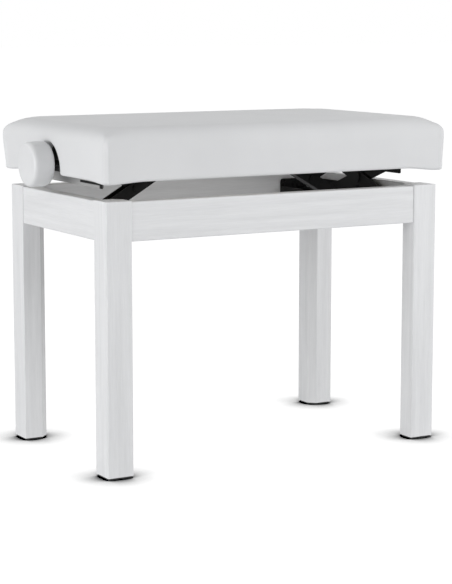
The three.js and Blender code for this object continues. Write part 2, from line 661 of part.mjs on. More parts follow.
const linerX = halfSeatX - LEATHER;
const linerY = halfSeatY - LEATHER;
const hem = 14;
const coverOuter = paddedBlock(halfSeatX, halfSeatY, SEAT.bottom, SEAT.top, SEAT.corner, SEAT.edge);
const coverInner = paddedBlock(linerX, linerY, SEAT.bottom + LEATHER, SEAT.top - LEATHER,
  coreCorner, SEAT.edge - LEATHER);
const coverMouth = block(-linerX + hem, linerX - hem, -linerY + hem, linerY - hem,
  SEAT.bottom - mouthMargin, SEAT.bottom + mouthMargin);
const cover = coverOuter.subtract(coverInner).subtract(join([
  coverMouth, archCut(NOTCH.radius, -halfSeatX - mouthMargin, -halfSeatX + hem + mouthMargin),
]));
addPiece("leather_cover", cover, hide);

// ---------------------------------------------------------------- brackets under the seat board

const cheekInset = 6;                  // from the end of the web to the end of a cheek
const cheekIntoWeb = 1.6;
const upperCheeks = sides.flatMap((side) => {
  const [innerY0, innerY1] = spread(side.sign, BRACKET.cheekY, BRACKET.reachY - cheekInset);
  const [outerY0, outerY1] = spread(side.sign, UPPER_WING.nearY, UPPER_WING.farY);
  const cheekTop = webBottom + cheekIntoWeb;
  const inner = roundedRectangle(innerY0, innerY1, upperRodZ - slotWall, cheekTop, cheekCorner);
  const outer = roundedRectangle(outerY0, outerY1, UPPER_WING.bottom, webBottom + cheekIntoWeb, cheekCorner);
  return [
    plateYZ(inner, ...wingXs[0], 1),
    plateYZ(outer, ...wingXs[1], 1),
    block(BRACKET.outerX - 1, UPPER_WING.farX, outerY0, outerY1, webBottom, webTop),
  ];
});
const upperWeb = block(BRACKET.innerX, BRACKET.outerX, -BRACKET.reachY, BRACKET.reachY, webBottom, webTop);
const upperSlots = sides.map((side) => slotCut(side.sign, upperRodZ));
const upperBracket = cut(join([upperWeb, ...upperCheeks]), upperSlots);
addPiece("upper_bracket", upperBracket.add(join(railScrews.flatMap(boardScrew))), blackSteel);

// each link is pinned to a bracket that hangs beside the screw
const seatCheek = { half: 9, foot: 6, bevel: 3, wall: 5 };
for (const end of ends) {
  const foot = DRIVE.footX;
  const low = SHAFT.z - seatPin.below - seatPin.radius - seatCheek.wall;
  const shoulder = low + seatCheek.bevel;
  const cheek = outline(mirrorPoint([
    [foot - seatCheek.half, shoulder], [foot - seatCheek.foot, low],
    [foot + seatCheek.foot, low], [foot + seatCheek.half, shoulder],
    [seatPlate.farX, webBottom + OVERLAP], [seatPlate.nearX, webBottom + OVERLAP],
  ], end.sign, 1).map(([x, z]) => [x + DRIVE.centreX, z]));
  const pivotX = DRIVE.centreX + end.sign * foot;
  const play = seatPin.radius + GAP;
  cheek.holes.push(roundedRectangle(pivotX - play, pivotX + play,
    SHAFT.z - play - seatPin.below, SHAFT.z + play + seatPin.above, play - 0.01));
  const [x0, x1] = spread(end.sign, seatPlate.nearX, seatPlate.farX);
  const front = SHAFT.y - SEAT_CHEEK.far;
  addPiece(`seat_bracket_${end.name}`, join([
    block(DRIVE.centreX + x0, DRIVE.centreX + x1, front, SHAFT.y + seatPlate.reachY, webBottom, webTop),
    plateXZ(cheek, front, SHAFT.y - SEAT_CHEEK.near),
    ...linkScrews.filter(([x]) => x * end.sign > 0).flatMap(boardScrew),
  ]), blackSteel);
}

// ---------------------------------------------------------------- knob, screw, bearings and nuts

function shaftBore(x0, x1, clearance) {
  return cylinder("x", SHAFT.radius + clearance, x0 - OVERLAP, x1 + OVERLAP,
    [0, SHAFT.y, SHAFT.z], SIDES.rod);
}

const BEARING = { halfY: 12, below: 11, leftX: [-258.6, -246], rightX: [241, 250] };
for (const [name, [x0, x1]] of [["left", BEARING.leftX], ["right", BEARING.rightX]]) {
  const body = block(x0, x1, SHAFT.y - BEARING.halfY, SHAFT.y + BEARING.halfY,
    SHAFT.z - BEARING.below, BOARD.bottom - GAP);
  addPiece(`shaft_bearing_${name}`, cut(body, [shaftBore(x0, x1, GAP)]), blackPlastic);
}

// a black plate closes the notch behind the knob
const notchPlateX = -skirtInnerX + GAP;
const notchPlate = block(notchPlateX, notchPlateX + NOTCH.plate,
  SHAFT.y - NOTCH.plateHalf, SHAFT.y + NOTCH.plateHalf, skirtBottom, skirtTop - 1);
const boreClearance = 2;
const plateBore = shaftBore(notchPlateX, notchPlateX + NOTCH.plate, boreClearance);
addPiece("notch_plate", cut(notchPlate, [plateBore]), blackSteel);

function quarterTurn(centreR, centreA, radius, fromDeg, toDeg, steps) {
  return Array.from({ length: steps + 1 }, (unused, i) => {
    const angle = THREE.MathUtils.degToRad(fromDeg + ((toDeg - fromDeg) * i) / steps);
    return new THREE.Vector2(centreR + radius * Math.cos(angle), centreA + radius * Math.sin(angle));
  });
}

// radius against distance behind the knob's face
const frontRound = KNOB.radius - KNOB.faceRadius;
const backRound = KNOB.radius - KNOB.backRadius;
const bore = SHAFT.radius + GAP;
const boreDepth = 11.5;
const boreFloor = 0.5;                 // play at the end of the screw
const faceSteps = 5;
const backSteps = 4;
const knobProfile = [
  new THREE.Vector2(0, 0),
  ...quarterTurn(KNOB.faceRadius, frontRound, frontRound, -90, 0, faceSteps),
  ...quarterTurn(KNOB.backRadius, KNOB.length - backRound, backRound, 0, 90, backSteps),
  new THREE.Vector2(bore, KNOB.length),
  new THREE.Vector2(bore, boreDepth),
  new THREE.Vector2(0, boreDepth),
];
const knob = new THREE.LatheGeometry(knobProfile, SIDES.knob).rotateZ(-Math.PI / 2);
addPiece("knob", solid(knob.translate(KNOB.faceX, SHAFT.y, SHAFT.z)), paint);

// right-hand and left-hand threads on one shaft draw the two nuts together
const screwFrom = KNOB.faceX + boreDepth + boreFloor;
const screwTo = 252;
const screw = cylinder("x", SHAFT.radius, screwFrom, screwTo, [0, SHAFT.y, SHAFT.z], SIDES.rod);
addPiece("drive_screw", solid(screw), blackSteel);

const nut = { halfX: 9, halfY: 7.2, halfZ: 9 };
for (const end of ends) {
  const x = DRIVE.centreX + end.sign * (DRIVE.footX - 2 * hubInset);
  const body = block(x - nut.halfX, x + nut.halfX, SHAFT.y - nut.halfY, SHAFT.y + nut.halfY,
    SHAFT.z - nut.halfZ, SHAFT.z + nut.halfZ);
  const pins = pinAlongY(nutPin.radius, nut.halfY - OVERLAP, nutPin.reach, x, SHAFT.z);
  const nutBore = shaftBore(x - nut.halfX, x + nut.halfX, GAP);
  addPiece(`drive_nut_${end.name}`, cut(join([body, ...pins]), [nutBore]), brass);
}

export default bench;
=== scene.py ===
"""Looks of the height-adjustable piano bench: white lacquered frame, white leather seat, black steel lift."""

import itertools
import math

import bmesh
import bpy
from mathutils import Matrix, Vector


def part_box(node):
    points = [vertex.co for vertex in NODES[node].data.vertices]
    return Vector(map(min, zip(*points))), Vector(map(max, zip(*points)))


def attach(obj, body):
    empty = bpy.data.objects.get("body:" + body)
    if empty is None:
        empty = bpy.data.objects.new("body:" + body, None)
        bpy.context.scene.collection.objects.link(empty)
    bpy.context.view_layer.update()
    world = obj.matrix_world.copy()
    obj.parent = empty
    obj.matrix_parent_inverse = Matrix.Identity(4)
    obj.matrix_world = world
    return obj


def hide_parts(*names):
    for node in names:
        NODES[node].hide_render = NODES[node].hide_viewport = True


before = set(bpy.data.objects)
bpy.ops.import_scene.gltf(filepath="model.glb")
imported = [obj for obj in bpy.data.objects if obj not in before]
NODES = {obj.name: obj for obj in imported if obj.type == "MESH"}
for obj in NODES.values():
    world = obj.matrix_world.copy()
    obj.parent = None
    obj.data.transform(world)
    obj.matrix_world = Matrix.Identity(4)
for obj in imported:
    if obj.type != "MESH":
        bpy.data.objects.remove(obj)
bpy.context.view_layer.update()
MM = 0.001

# ---------------------------------------------------------------- places, all from the frame

cover_low, cover_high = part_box("leather_cover")
knob_low, knob_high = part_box("knob")
KNOB_CENTRE = (knob_low + knob_high) / 2
SEAT_CENTRE = (cover_low + cover_high) / 2
HALF_X = (cover_high.x - cover_low.x) / 2
HALF_Y = (cover_high.y - cover_low.y) / 2
SEAT_BOTTOM = cover_low.z
SEAT_TOP = cover_high.z

# ---------------------------------------------------------------- small helpers


def smoothstep(low, high, value):
    t = min(max((value - low) / (high - low), 0.0), 1.0)
    return t * t * (3 - 2 * t)


def link(obj):
    bpy.context.scene.collection.objects.link(obj)
    return obj


def mesh_object(name, vertices, faces, material):
    mesh = bpy.data.meshes.new(name)
    mesh.from_pydata([tuple(v) for v in vertices], [], faces)
    mesh.validate()
    mesh.update()
    mesh.materials.append(material)
    mesh.polygons.foreach_set("use_smooth", [True] * len(mesh.polygons))
    return link(bpy.data.objects.new(name, mesh))


def bake_modifiers(obj):
    """Applies every modifier, so that the piece's own mesh is its final shape."""
    graph = bpy.context.evaluated_depsgraph_get()
    mesh = bpy.data.meshes.new_from_object(obj.evaluated_get(graph))
    obj.modifiers.clear()
    obj.data = mesh


SHARP_DEG = 32


def crisp(obj, angle_deg=SHARP_DEG):
    """Smooth shading that keeps edges sharper than the angle."""
    obj.data.polygons.foreach_set("use_smooth", [True] * len(obj.data.polygons))
    split = obj.modifiers.new("crisp", "EDGE_SPLIT")
    split.split_angle = math.radians(angle_deg)


def soften(obj, width):
    """Rounds the piece's edges by a small radius."""
    bevel = obj.modifiers.new("soften", "BEVEL")
    bevel.width = width
    bevel.segments = 3
    bevel.limit_method = "ANGLE"
    bevel.angle_limit = math.radians(SHARP_DEG)
    bevel.harden_normals = True
    obj.data.polygons.foreach_set("use_smooth", [True] * len(obj.data.polygons))


# ---------------------------------------------------------------- materials


class Nodes:
    """A material's node tree, with short ways to add and join nodes. Pattern scales are per metre."""

    def __init__(self, name):
        self.material = bpy.data.materials.new(name)
        self.material.use_nodes = True
        self.tree = self.material.node_tree
        self.shader = self.tree.nodes["Principled BSDF"]
        self.coordinates = self.tree.nodes.new("ShaderNodeTexCoord").outputs["Object"]

    def add(self, kind, **settings):
        node = self.tree.nodes.new("ShaderNode" + kind)
        for key, value in settings.items():
            setattr(node, key, value)
        return node

    def join(self, source, target):
        self.tree.links.new(source, target)

    def set(self, **values):
        for key, value in values.items():
            self.shader.inputs[key.replace("_", " ")].default_value = value

    def scaled(self, scale):
        mapping = self.add("Mapping")
        mapping.inputs["Scale"].default_value = scale
        self.join(self.coordinates, mapping.inputs["Vector"])
        return mapping.outputs["Vector"]

    def noise(self, scale, detail=4.0, roughness=0.5, stretch=(1, 1, 1)):
        node = self.add("TexNoise")
        node.inputs["Scale"].default_value = scale
        node.inputs["Detail"].default_value = detail
        node.inputs["Roughness"].default_value = roughness
        self.join(self.scaled(stretch), node.inputs["Vector"])
        return node.outputs["Fac"]

    def cells(self, scale):
        node = self.add("TexVoronoi")
        node.inputs["Scale"].default_value = scale
        self.join(self.coordinates, node.inputs["Vector"])
        return node.outputs["Distance"]

    def ramp(self, source, stops):
        node = self.add("ValToRGB")
        elements = node.color_ramp.elements
        while len(elements) < len(stops):
            elements.new(0.5)
        for element, (position, colour) in zip(elements, stops):
            element.position = position
            element.color = (*colour, 1.0)
        self.join(source, node.inputs["Fac"])
        return node.outputs["Color"]

    def to_range(self, source, low, high, from_low=0.0, from_high=1.0):
        node = self.add("MapRange")
        node.inputs["From Min"].default_value = from_low
        node.inputs["From Max"].default_value = from_high
        node.inputs["To Min"].default_value = low
        node.inputs["To Max"].default_value = high
        self.join(source, node.inputs["Value"])
        return node.outputs["Result"]

    def sum(self, first, second, weight):
        """first plus weight times second."""
        node = self.add("Math", operation="MULTIPLY_ADD")
        node.inputs[1].default_value = weight
        self.join(second, node.inputs[0])
        self.join(first, node.inputs[2])
        return node.outputs["Value"]

    def colour(self, output):
        self.join(output, self.shader.inputs["Base Color"])

    def roughness(self, output):
        self.join(output, self.shader.inputs["Roughness"])

    def bump(self, output, height, strength):
        node = self.add("Bump")
        node.inputs["Strength"].default_value = strength
        node.inputs["Distance"].default_value = height
        self.join(output, node.inputs["Height"])
        self.join(node.outputs["Normal"], self.shader.inputs["Normal"])


def grey(value, tint=(1.0, 1.0, 1.0)):
    return tuple(value * t for t in tint)


COOL = (0.992, 0.998, 1.008)          # the photograph's whites are very slightly blue
ALONG_GRAIN = 0.045                   # patterns are this much slower along the grain than across it
ALONG_BARE_GRAIN = 0.06


def white_lacquer(name, grain):
    """Open-pored wood under white satin lacquer. grain is the axis it runs along: 0, 1 or 2."""
    nodes = Nodes(name)
    along = tuple(ALONG_GRAIN if axis == grain else 1.0 for axis in range(3))
    pores = nodes.noise(900, detail=3, roughness=0.6, stretch=along)
    figure = nodes.noise(120, detail=5, roughness=0.55, stretch=along)
    tone = nodes.sum(figure, pores, 0.5)
    nodes.colour(nodes.ramp(tone, [(0.45, grey(0.70, COOL)), (0.95, grey(0.80, COOL))]))
    nodes.roughness(nodes.to_range(figure, 0.36, 0.5))
    nodes.bump(tone, 0.12 * MM, 0.35)
    nodes.set(Specular_IOR_Level=0.45)
    return nodes.material


def white_leather():
    nodes = Nodes("white_leather")
    pebbles = nodes.cells(1500)
    creases = nodes.noise(420, detail=6, roughness=0.6)
    clouds = nodes.noise(9, detail=3)
    nodes.colour(nodes.ramp(clouds, [(0.3, grey(0.70, COOL)), (0.7, grey(0.735, COOL))]))
    nodes.roughness(nodes.to_range(creases, 0.46, 0.58))
    nodes.bump(nodes.sum(pebbles, creases, 0.6), 0.07 * MM, 0.35)
    nodes.set(Specular_IOR_Level=0.42, Sheen_Weight=0.05, Sheen_Roughness=0.5)
    return nodes.material


def painted_steel():
    nodes = Nodes("black_steel")
    orange_peel = nodes.noise(700, detail=2)
    dust = nodes.noise(45, detail=6, roughness=0.7)
    nodes.colour(nodes.ramp(dust, [(0.35, grey(0.006)), (0.8, grey(0.012, COOL))]))
    nodes.roughness(nodes.to_range(dust, 0.5, 0.66))
    nodes.bump(orange_peel, 0.05 * MM, 0.3)
    nodes.set(Specular_IOR_Level=0.2)
    return nodes.material


def plated_steel():
    nodes = Nodes("zinc_steel")
    streaks = nodes.noise(260, detail=4, stretch=(0.2, 1, 1))
    spangle = nodes.cells(160)
    nodes.colour(nodes.ramp(spangle, [(0.1, grey(0.42, COOL)), (0.9, grey(0.58, COOL))]))
    nodes.roughness(nodes.to_range(streaks, 0.24, 0.42))
    nodes.set(Metallic=1.0)
    return nodes.material


def turned_brass():
    nodes = Nodes("brass")
    marks = nodes.noise(320, detail=4, stretch=(1, 0.2, 1))
    nodes.colour(nodes.ramp(marks, [(0.3, (0.46, 0.31, 0.1)), (0.8, (0.6, 0.43, 0.17))]))
    nodes.roughness(nodes.to_range(marks, 0.25, 0.42))
    nodes.set(Metallic=1.0)
    return nodes.material


def bare_wood(name, dark, light, grain=0):
    """Wood without lacquer, between two colours. grain is the axis it runs along: 0, 1 or 2."""
    nodes = Nodes(name)
    along = tuple(ALONG_BARE_GRAIN if axis == grain else 1.0 for axis in range(3))
    figure = nodes.noise(90, detail=7, roughness=0.62, stretch=along)
    nodes.colour(nodes.ramp(figure, [(0.3, dark), (0.72, light)]))
    nodes.roughness(nodes.to_range(figure, 0.6, 0.78))
    nodes.bump(figure, 0.2 * MM, 0.4)
    return nodes.material


def moulded_black(name, low, high):
    nodes = Nodes(name)
    texture = nodes.noise(650, detail=3)
    nodes.colour(nodes.ramp(texture, [(0.3, grey(low)), (0.8, grey(high))]))
    nodes.roughness(nodes.to_range(texture, 0.5, 0.68))
    nodes.bump(texture, 0.08 * MM, 0.4)
    return nodes.material


def knob_lacquer():
    nodes = Nodes("knob_white")
    peel = nodes.noise(240, detail=3)
    clouds = nodes.noise(30, detail=2)
    nodes.colour(nodes.ramp(clouds, [(0.3, grey(0.72, COOL)), (0.7, grey(0.75, COOL))]))
    nodes.roughness(nodes.to_range(peel, 0.34, 0.42))
    nodes.bump(peel, 0.03 * MM, 0.3)
    return nodes.material


def open_foam():
    nodes = Nodes("foam")
    holes = nodes.cells(700)
    # painted shade: the colour is darker in each cell's hollow, as in the foam's pores
    nodes.colour(nodes.ramp(holes, [(0.1, (0.55, 0.5, 0.36)), (0.6, (0.72, 0.67, 0.52))]))
    nodes.bump(holes, 0.4 * MM, 0.7)
    nodes.set(Roughness=0.95)
    return nodes.material


WOOD_X = white_lacquer("white_wood_x", grain=0)
WOOD_Y = white_lacquer("white_wood_y", grain=1)
WOOD_Z = white_lacquer("white_wood_z", grain=2)
LEATHER = white_leather()
BLACK = painted_steel()
ZINC = plated_steel()
BRASS = turned_brass()
BEECH = bare_wood("bare_beech", (0.62, 0.57, 0.5), (0.76, 0.71, 0.64))
PLY = bare_wood("plywood", (0.66, 0.62, 0.56), (0.78, 0.74, 0.68))
# The batten's plain grey wood, much darker than the white frame.
GREY_BATTEN = bare_wood("grey_batten", (0.36, 0.36, 0.36), (0.44, 0.44, 0.44), grain=1)
RUBBER = moulded_black("black_rubber", 0.008, 0.016)
PLASTIC = moulded_black("black_plastic", 0.010, 0.02)
KNOB_WHITE = knob_lacquer()
FOAM = open_foam()

# ---------------------------------------------------------------- CAD pieces that stay

# The start of a node's name, its material, and the radius that softens its edges. The first match counts.
FINISHES = [
    ("leg_", WOOD_Z, 0.5 * MM), ("rail_front", WOOD_X, 0.5 * MM), ("rail_rear", WOOD_X, 0.5 * MM),
    ("rail_", WOOD_Y, 0.5 * MM), ("foot_pad_", RUBBER, 0.35 * MM), ("corner_", ZINC, 0),
    ("lower_bracket_", BLACK, 0.35 * MM), ("upper_bracket", BLACK, 0.35 * MM),
    ("foot_bracket_", BLACK, 0.35 * MM), ("seat_bracket_", BLACK, 0.35 * MM),
    ("lift_arm_", BLACK, 0.4 * MM), ("seat_link_", BLACK, 0.4 * MM), ("scissor_arm_", BLACK, 0.4 * MM),
    ("hub_pin_", BLACK, 0.4 * MM), ("scissor_bolt", BLACK, 0.5 * MM), ("notch_plate", PLASTIC, 0),
    ("rod_", ZINC, 0), ("seat_board", PLY, 0), ("seat_skirt_", BEECH, 0), ("foam_pad", FOAM, 0),
    ("shaft_bearing_", PLASTIC, 0.5 * MM), ("drive_screw", BLACK, 0), ("drive_nut_", BRASS, 0.4 * MM),
    ("knob", KNOB_WHITE, 0), ("leather_cover", LEATHER, 0),
]


def finish_of(node):
    return next(entry for entry in FINISHES if node.startswith(entry[0]))


for node_name, node in NODES.items():
    _, node_material, edge_radius = finish_of(node_name)
    node.data.materials.clear()
    node.data.materials.append(node_material)
    if edge_radius:
        soften(node, edge_radius)
    else:
        crisp(node)

# ---------------------------------------------------------------- leather seat

EDGE_RADIUS = 23 * MM
CORNER_RADIUS = 6.5 * MM
CORNER_GROWTH = 0.75                # the corners' radius grows by this share of the inset
HEM_WIDTH = 14 * MM
HEM_ROUND = 4 * MM
HEM_TOP = 5 * MM                    # the hem's height: above it are the sides
HIDE = 1.4 * MM
MERGE_DISTANCE = 0.02 * MM
NOTCH_RADIUS = 27.5 * MM
NOTCH_ROLL = 8 * MM
NOTCH_DEPTH = 11 * MM
NOTCH_HEM = 5 * MM                  # the most that the hem spreads round the notch
NOTCH_MARGIN = (1 * MM, 2 * MM)     # past the hem, and up into the rounded edge: still drawn into the notch
CROWN = 2.5 * MM
CROWN_START = 0.4                   # as a share of the edge's radius, in from the side
CROWN_ABOVE = 20 * MM               # keeps the crown off the hem, which is as far in
CROWN_RISE = 60 * MM
CORNER_REACH = 48 * MM
CORNER_DROP = 5 * MM
CORNER_DEPTH = 14 * MM
HANG_REACH = 65 * MM
HANG_HEIGHT = 40 * MM
CORNER_HANG = {-1: 3.4 * MM, 1: 4.8 * MM}
FOLD_WIDTH = 3 * MM
FOLD_RISE = 1.0 * MM
FOLD_GROOVE = 2.4 * MM
FOLD_LINE = 1.6 * MM
FOLD_EDGE = 0.6 * MM
FOLD_INSET = 3 * MM
FOLD_FADE = (26 * MM, 8 * MM)       # below the top: where the fold starts to fade, and where it is gone
SIDE_FULLNESS = 0.9 * MM
SIDE_INSET = 1 * MM
SIDE_BULGE = (30 * MM, 11 * MM)     # below the top: the middle of the bulge, and its spread
END_FULLNESS = {-1: (1.2 * MM, 5.5 * MM), 1: (2.6 * MM, 5.0 * MM)}      # at the bottom, and near the top
END_BLEND = (2 * MM, 1 * MM)        # starts this far before the corner's round, whole this far before the end
END_SETTLES = 80 * MM               # the knob end fills out over this distance from its front corner


def even_steps(low, high, step):
    count = max(1, round((high - low) / step))
    return [low + (high - low) * i / count for i in range(count + 1)]


def edge_samples(half, fine, coarse, fine_zone):
    """Positions along one side, close together near both ends, where the corner folds are."""
    near = even_steps(-half, -half + fine_zone, fine)
    middle = even_steps(-half + fine_zone, half - fine_zone, coarse)
    return near + middle[1:-1] + [-x for x in reversed(near)]


LONG_SAMPLES = edge_samples(HALF_X - CORNER_RADIUS, fine=1.2 * MM, coarse=4.5 * MM, fine_zone=16 * MM)
SHORT_SAMPLES = edge_samples(HALF_Y - CORNER_RADIUS, fine=0.6 * MM, coarse=1.9 * MM, fine_zone=6 * MM)
CORNER_STEPS = 7
HEM_STEPS = 4
SIDE_STEP = 2 * MM
EDGE_STEPS = 12
TOP_STEPS = 26
TOP_SPACING = 1.25                  # above 1, the rings of the top lie closer together near the edge


def ring_outline(inset):
    """One closed ring of (x, y) about the seat's centre. Every ring has the same number of points."""
    half_x = max(HALF_X - inset, 0.0)
    half_y = max(HALF_Y - inset, 0.0)
    corner = min(CORNER_RADIUS + CORNER_GROWTH * inset, half_x, half_y)
    scale_x = (half_x - corner) / (HALF_X - CORNER_RADIUS)
    scale_y = (half_y - corner) / (HALF_Y - CORNER_RADIUS)
    points = []

    def arc(centre_x, centre_y, start_deg):
        for i in range(1, CORNER_STEPS):
            angle = math.radians(start_deg + 90 * i / CORNER_STEPS)
            points.append((centre_x + corner * math.cos(angle), centre_y + corner * math.sin(angle)))

    inner_x, inner_y = half_x - corner, half_y - corner
    points += [(x * scale_x, -half_y) for x in LONG_SAMPLES]
    arc(inner_x, -inner_y, -90)
    points += [(half_x, y * scale_y) for y in SHORT_SAMPLES]
    arc(inner_x, inner_y, 0)
    points += [(x * scale_x, half_y) for x in reversed(LONG_SAMPLES)]
    arc(-inner_x, inner_y, 90)
    points += [(-half_x, y * scale_y) for y in reversed(SHORT_SAMPLES)]
    arc(-inner_x, -inner_y, 180)
    return points


def seat_profile():
    """(inset, height) from the hem's inner edge, round the outside, to the middle of the top."""
    bottom, top = SEAT_BOTTOM, SEAT_TOP
    profile = [(HEM_WIDTH, bottom), (HEM_ROUND, bottom)]
    for step in range(1, HEM_STEPS + 1):
        angle = math.pi / 2 * step / HEM_STEPS
        inset = HEM_ROUND - HEM_ROUND * math.sin(angle)
        profile.append((inset, bottom + HEM_ROUND - HEM_ROUND * math.cos(angle)))
    profile += [(0.0, z) for z in even_steps(bottom + HEM_ROUND, top - EDGE_RADIUS, SIDE_STEP)[1:]]
    for step in range(1, EDGE_STEPS + 1):
        angle = math.pi / 2 * step / EDGE_STEPS
        inset = EDGE_RADIUS - EDGE_RADIUS * math.cos(angle)
        profile.append((inset, top - EDGE_RADIUS + EDGE_RADIUS * math.sin(angle)))
    for step in range(1, TOP_STEPS + 1):
        share = (step / TOP_STEPS) ** TOP_SPACING
        profile.append((EDGE_RADIUS + (HALF_Y - EDGE_RADIUS) * share, top))
    return profile


def crown_height(x, y):
    """The slight dome of the padded top, which rises fastest near the rim."""
    dome = (1 - (x / HALF_X) ** 2) * (1 - (y / HALF_Y) ** 2)
    return CROWN * math.sqrt(max(dome, 0.0))


def corner_sag(x, y, z):
    """The padding is thinner towards the four corners of the top."""
    near_end = 1 - smoothstep(0, CORNER_REACH, HALF_X - abs(x))
    near_side = 1 - smoothstep(0, CORNER_REACH, HALF_Y - abs(y))
    return CORNER_DROP * near_end * near_side * smoothstep(SEAT_TOP - CORNER_DEPTH, SEAT_TOP, z)


def fold_offset(x, y, z):
    """Outward offset round a seat corner, where the leather folds over itself and stands proud."""
    if HALF_X - abs(x) > CORNER_RADIUS or HALF_Y - abs(y) > CORNER_RADIUS + FOLD_WIDTH:
        return 0.0
    along_end = HALF_Y - abs(y)
    fade = 1 - smoothstep(SEAT_TOP - FOLD_FADE[0], SEAT_TOP - FOLD_FADE[1], z)
    step = 1 - smoothstep(FOLD_WIDTH - FOLD_EDGE, FOLD_WIDTH + FOLD_EDGE, along_end)
    groove = math.exp(-(((along_end - FOLD_WIDTH - FOLD_LINE) / FOLD_LINE) ** 2))
    return (FOLD_RISE * step - FOLD_GROOVE * groove) * fade


def corner_hang(x, y, z):
    """The folded leather hangs a little lower at the four bottom corners."""
    near_end = 1 - smoothstep(0, HANG_REACH, HALF_X - abs(x))
    near_side = 1 - smoothstep(0, HANG_REACH, HALF_Y - abs(y))
    low = 1 - smoothstep(SEAT_BOTTOM, SEAT_BOTTOM + HANG_HEIGHT, z)
    drop = CORNER_HANG[1 if x > 0 else -1]
    return drop * near_end * near_side * low


def end_fullness(z, sign):
    """How far the padding pushes an end outwards, more towards the top. The knob end has sign -1."""
    rise = smoothstep(SEAT_BOTTOM, SEAT_TOP - EDGE_RADIUS, z)
    low, high = END_FULLNESS[sign]
    return low + (high - low) * rise


def side_fullness(z):
    """How far the padding pushes the long sides outwards, mostly just under the rounded edge."""
    t = (z - (SEAT_TOP - SIDE_BULGE[0])) / SIDE_BULGE[1]
    return SIDE_FULLNESS * math.exp(-t * t)


def roll_into_notch(x, y, z, inset, fullness):
    """Where the leather's turn into the notch takes a point, and whether it is past the leather's end."""
    centre_y = KNOB_CENTRE.y
    centre_z = KNOB_CENTRE.z
    dy, dz = y - centre_y, max(z - centre_z, 0.0)
    radius = math.hypot(dy, dz)
    edge_distance = radius - NOTCH_RADIUS
    travelled = NOTCH_ROLL - edge_distance
    if travelled <= 0:
        return (x, y, z), False
    roll_length = NOTCH_ROLL * math.pi / 2
    limit = roll_length + NOTCH_DEPTH - NOTCH_ROLL
    ended = travelled >= limit
    travelled = min(travelled, limit)
    direction = (dy / radius, dz / radius) if radius > 0 else (0.0, 1.0)
    hem = min(inset, NOTCH_HEM)
    if travelled < roll_length:
        angle = travelled / NOTCH_ROLL
        outward = NOTCH_ROLL - (NOTCH_ROLL - hem) * math.sin(angle)
        depth = NOTCH_ROLL - (NOTCH_ROLL - hem) * math.cos(angle)
    else:
        outward = hem
        depth = travelled - roll_length + NOTCH_ROLL
    new_radius = NOTCH_RADIUS + outward
    spread = fullness * (1 - smoothstep(0.0, roll_length, travelled))
    new_y = centre_y + direction[0] * new_radius
    new_z = centre_z + direction[1] * new_radius if z > centre_z else z
    return (-HALF_X + depth - spread, new_y, new_z), ended


def shaped_point(x, y, height, inset):
    """Where a point of the plain rounded block goes, and whether it is past the leather's end."""
    z = height
    if inset > CROWN_START * EDGE_RADIUS and height > SEAT_BOTTOM + CROWN_ABOVE:
        z += crown_height(x, y) * smoothstep(0, CROWN_RISE, inset)
    z -= corner_sag(x, y, z) + corner_hang(x, y, z)
    offset = fold_offset(x, y, z) if inset < FOLD_INSET else 0.0
    bulge = side_fullness(z) if inset < SIDE_INSET else 0.0
    sign = 1 if x > 0 else -1
    taper = 1 - smoothstep(0.0, EDGE_RADIUS, inset) if z > SEAT_BOTTOM + HEM_TOP else 1.0
    end_share = smoothstep(HALF_X - CORNER_RADIUS - END_BLEND[0], HALF_X - END_BLEND[1], abs(x) + inset)
    settled = smoothstep(0.0, END_SETTLES, y + HALF_Y) if sign < 0 else 1.0
    end_push = end_fullness(z, sign) * taper * end_share * settled
    on_end = abs(x / HALF_X) > abs(y / HALF_Y)
    centred = x == 0 and y == 0
    x += sign * end_push
    if on_end:
        x += math.copysign(offset, x)
    elif not centred:
        y += math.copysign(offset + bulge, y)
    near_notch = x < -HALF_X + HEM_WIDTH + NOTCH_MARGIN[0] and z < SEAT_TOP - EDGE_RADIUS + NOTCH_MARGIN[1]
    if near_notch:
        return roll_into_notch(x, y, z, max(inset, 0.0), end_push)
    return (x, y, z), False


def leather_seat():
    """The padded cover: rings of points from its hem to the middle of its top."""
    profile = seat_profile()
    rings = [ring_outline(inset) for inset, _ in profile]
    count = len(rings[0])
    vertices, ended = [], []
    for (inset, height), ring in zip(profile, rings):
        for ring_x, ring_y in ring:
            (x, y, z), done = shaped_point(ring_x, ring_y, height, inset)
            vertices.append((x + SEAT_CENTRE.x, y + SEAT_CENTRE.y, z))
            ended.append(done)
    faces = []
    for level in range(len(rings) - 1):
        for i in range(count):
            j = (i + 1) % count
            low, high = level * count, (level + 1) * count
            corners = (low + i, low + j, high + j, high + i)
            if not all(ended[c] for c in corners):
                faces.append(corners)
    seat = mesh_object("seat_leather", vertices, faces, LEATHER)
    work = bmesh.new()
    work.from_mesh(seat.data)
    bmesh.ops.remove_doubles(work, verts=work.verts, dist=MERGE_DISTANCE)
    loose = [v for v in work.verts if not v.link_faces]
    bmesh.ops.delete(work, geom=loose, context="VERTS")
    bmesh.ops.recalc_face_normals(work, faces=work.faces)
    work.to_mesh(seat.data)
    work.free()
    hide = seat.modifiers.new("hide", "SOLIDIFY")
    hide.thickness = HIDE
    hide.offset = -1
    bake_modifiers(seat)
    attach(seat, "seat")
    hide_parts("leather_cover", "foam_pad")


# ---------------------------------------------------------------- notch lining and batten

LINING_RADII = (0.4 * MM, 0.9 * MM)     # its inner and outer face, past the notch's radius
LINING_OVERLAP = 2.5 * MM
LINING_GAP = 0.2 * MM
LINING_FOOT = 2.5 * MM
LINING_STEP_DEG = 6


